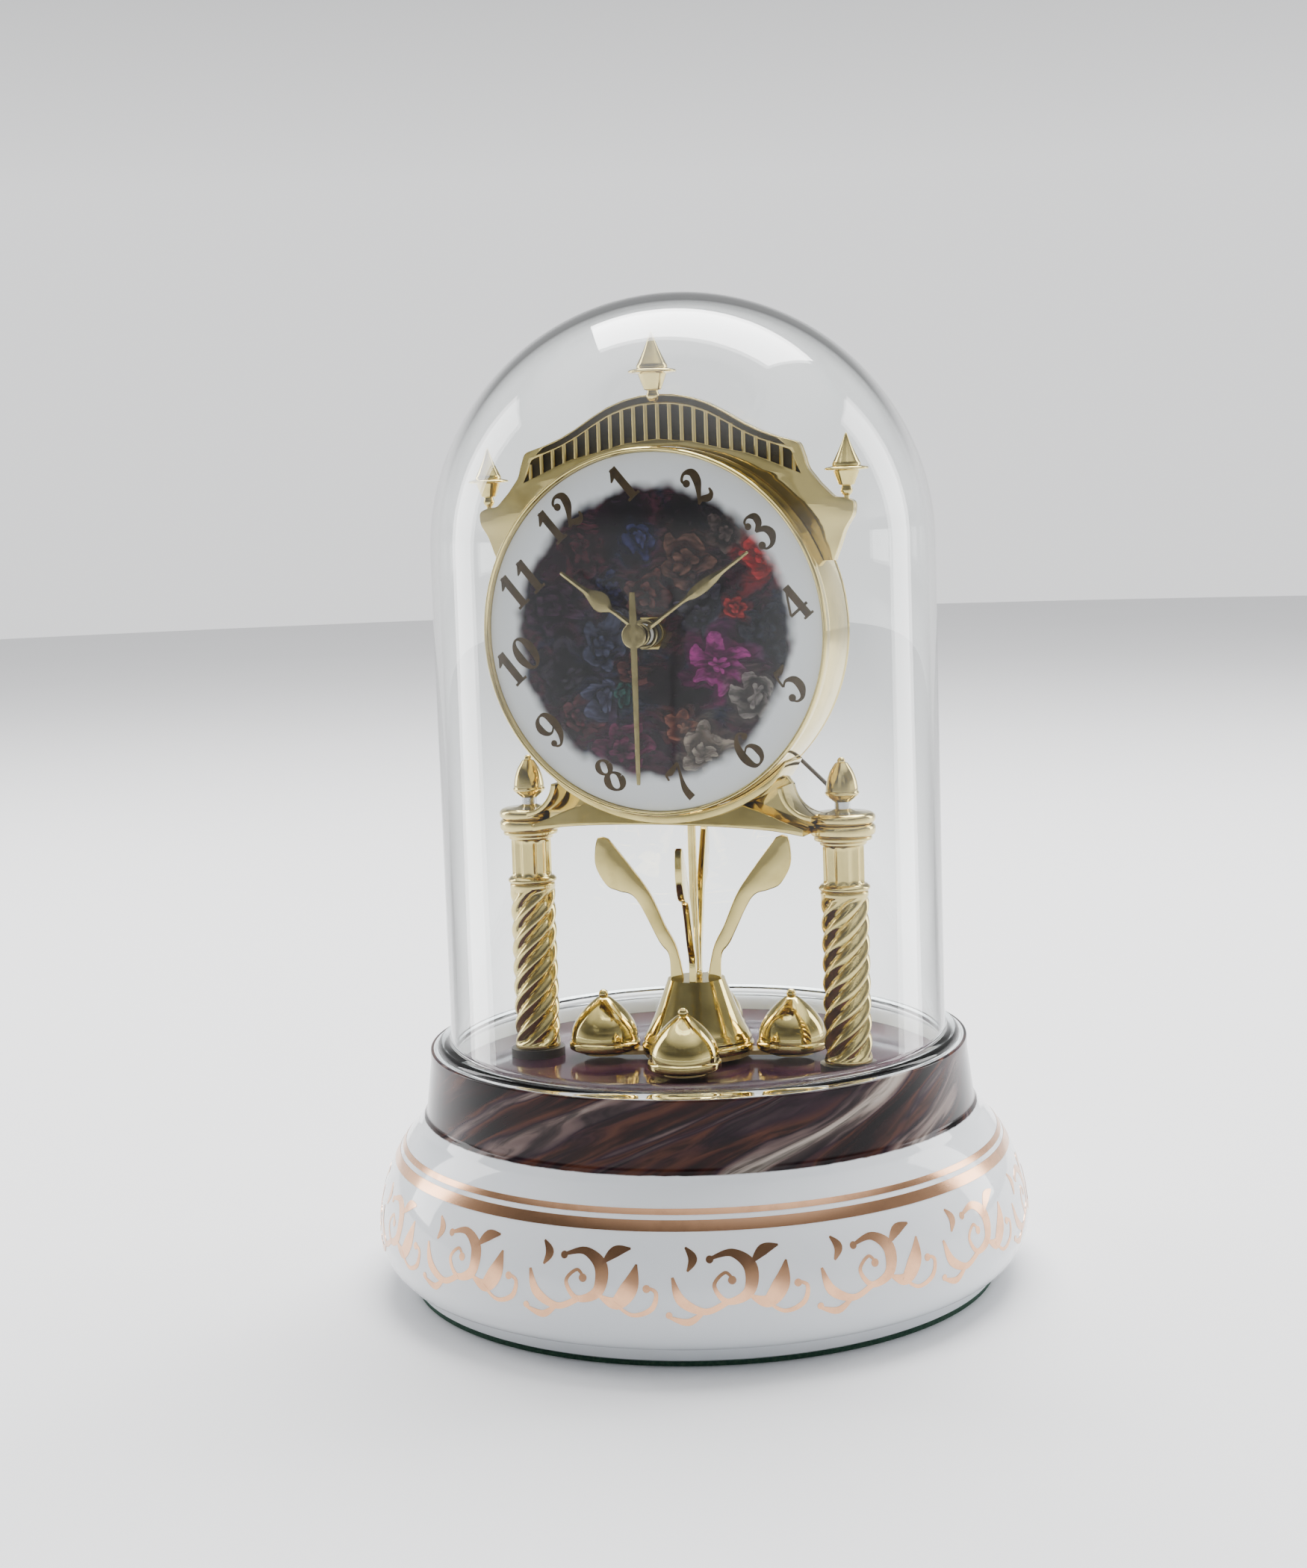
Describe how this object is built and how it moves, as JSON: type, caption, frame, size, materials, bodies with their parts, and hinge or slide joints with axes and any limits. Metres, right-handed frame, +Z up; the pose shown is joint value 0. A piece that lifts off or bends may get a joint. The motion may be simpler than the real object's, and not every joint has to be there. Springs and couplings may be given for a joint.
{
  "type": "anniversary clock",
  "caption": "Battery anniversary clock: round dial on two twisted columns over a turning pendulum, on a porcelain base under a lift-off glass dome.",
  "frame": {"origin": "centre of the base's underside, on the axis of the dome and the pendulum", "axes": "+Z up along the dome's axis, the dial faces -Y, +X to the right of someone facing the dial"},
  "size_m": [0.1534, 0.1534, 0.2286],
  "materials": {
    "porcelain": "cool white high-gloss glaze with copper-gold bands",
    "dial_porcelain": "white glazed disc with a dark soft-edged printed picture",
    "felt": "dark green felt",
    "platform_lacquer": "very dark plum mirror gloss",
    "grey_plastic": "moulded, fine texture",
    "black_plastic": "moulded, fine texture",
    "white_plastic": "acetal",
    "red_plastic": "moulded",
    "steel": "zinc plated",
    "spring_steel": "nickel plated",
    "cell_jacket": "printed shrink sleeve, no lettering",
    "speaker_can": "pressed steel with a dark paper cone",
    "circuit_green": "solder mask",
    "dark_washer": "dark fibre",
    "polished_brass": "polished and lacquered, lemon tone",
    "satin_brass": "satin",
    "gear_brass": "fine machined",
    "hand_brass": "stamped and polished",
    "wire_jacket": "thin insulated lead",
    "copper_winding": "enamelled copper wire on a steel stator",
    "magnet": "ferrite grey",
    "dome_glass": "clear, polished"
  },
  "bodies": {
    "clock": {"porcelain_base": "porcelain", "felt_ring": "felt", "platform_plate": "platform_lacquer", "inner_frame": "grey_plastic", "base_plate": "black_plastic", "machine_screws": "steel", "battery_tray": "black_plastic", "battery_contacts": "spring_steel", "batteries": "cell_jacket", "speaker": "speaker_can", "chime_board": "circuit_green", "column_feet": "dark_washer", "column_shaft_left": "polished_brass", "column_shaft_right": "polished_brass", "capital_left": "polished_brass", "capital_right": "polished_brass", "acorn_nuts": "polished_brass", "tie_rods": "steel", "tie_nuts": "steel", "lead_wire": "wire_jacket", "dial_bracket": "polished_brass", "dial_case": "polished_brass", "bezel": "polished_brass", "dial_plate": "dial_porcelain", "back_cover": "satin_brass", "crown": "polished_brass", "top_finial": "polished_brass", "side_finial_left": "polished_brass", "side_finial_right": "polished_brass", "movement_front": "black_plastic", "movement_back": "black_plastic", "motor_coil": "copper_winding", "circuit_board": "circuit_green", "dial_nut": "polished_brass", "pendulum_drive": "black_plastic"},
    "dome": {"glass_dome": "dome_glass"},
    "minute": {"minute_wheel": "gear_brass", "minute_hand": "hand_brass"},
    "hour": {"hour_wheel": "white_plastic", "hour_hand": "hand_brass"},
    "second": {"second_wheel": "gear_brass", "second_hand": "hand_brass"},
    "intermediate": {"intermediate_wheel": "gear_brass"},
    "rotor": {"rotor": "magnet"},
    "setting": {"motion_wheel": "white_plastic", "set_knob": "grey_plastic"},
    "pendulum": {"pendulum_rod": "polished_brass", "pendulum_hub": "polished_brass", "pendulum_cross": "satin_brass", "leaf_arm_1": "polished_brass", "leaf_arm_2": "polished_brass", "leaf_arm_3": "polished_brass", "leaf_arm_4": "polished_brass", "pendulum_ball_1": "polished_brass", "pendulum_ball_2": "polished_brass", "pendulum_ball_3": "polished_brass", "pendulum_ball_4": "polished_brass"},
    "door": {"battery_door": "black_plastic"},
    "switch": {"chime_switch": "red_plastic"}
  },
  "joints": [
    {"name": "dome_lift", "type": "slide", "parent": "clock", "child": "dome", "axis": [0, 0, 1], "range_m": [0, 0.19]},
    {"name": "minute_hand_turn", "type": "hinge", "parent": "clock", "child": "minute", "pos_m": [0, -0.028, 0.1524], "axis": [0, 1, 0], "continuous": true},
    {"name": "hour_hand_turn", "type": "hinge", "parent": "clock", "child": "hour", "pos_m": [0, -0.025, 0.1524], "axis": [0, 1, 0], "continuous": true},
    {"name": "motion_wheel_turn", "type": "hinge", "parent": "clock", "child": "setting", "pos_m": [0.00679, -0.014, 0.14561], "axis": [0, 1, 0], "continuous": true},
    {"name": "second_hand_turn", "type": "hinge", "parent": "clock", "child": "second", "pos_m": [0, -0.031, 0.1524], "axis": [0, 1, 0], "continuous": true},
    {"name": "intermediate_wheel_turn", "type": "hinge", "parent": "clock", "child": "intermediate", "pos_m": [-0.00831, -0.011, 0.1572], "axis": [0, 1, 0], "continuous": true},
    {"name": "rotor_turn", "type": "hinge", "parent": "clock", "child": "rotor", "pos_m": [-0.01461, -0.011, 0.1572], "axis": [0, 1, 0], "continuous": true},
    {"name": "pendulum_turn", "type": "hinge", "parent": "clock", "child": "pendulum", "pos_m": [0, 0, 0.124], "axis": [0, 0, 1], "continuous": true},
    {"name": "battery_door_slide", "type": "slide", "parent": "clock", "child": "door", "axis": [1, 0, 0], "range_m": [0, 0.01]},
    {"name": "chime_switch_slide", "type": "slide", "parent": "clock", "child": "switch", "axis": [0, 1, 0], "range_m": [0, 0.006]}
  ],
  "couplings": [
    {"joint": "hour_hand_turn", "follows": "minute_hand_turn", "ratio": 0.083333},
    {"joint": "motion_wheel_turn", "follows": "minute_hand_turn", "ratio": -0.33333},
    {"joint": "intermediate_wheel_turn", "follows": "second_hand_turn", "ratio": -5},
    {"joint": "rotor_turn", "follows": "second_hand_turn", "ratio": 30}
  ]
}
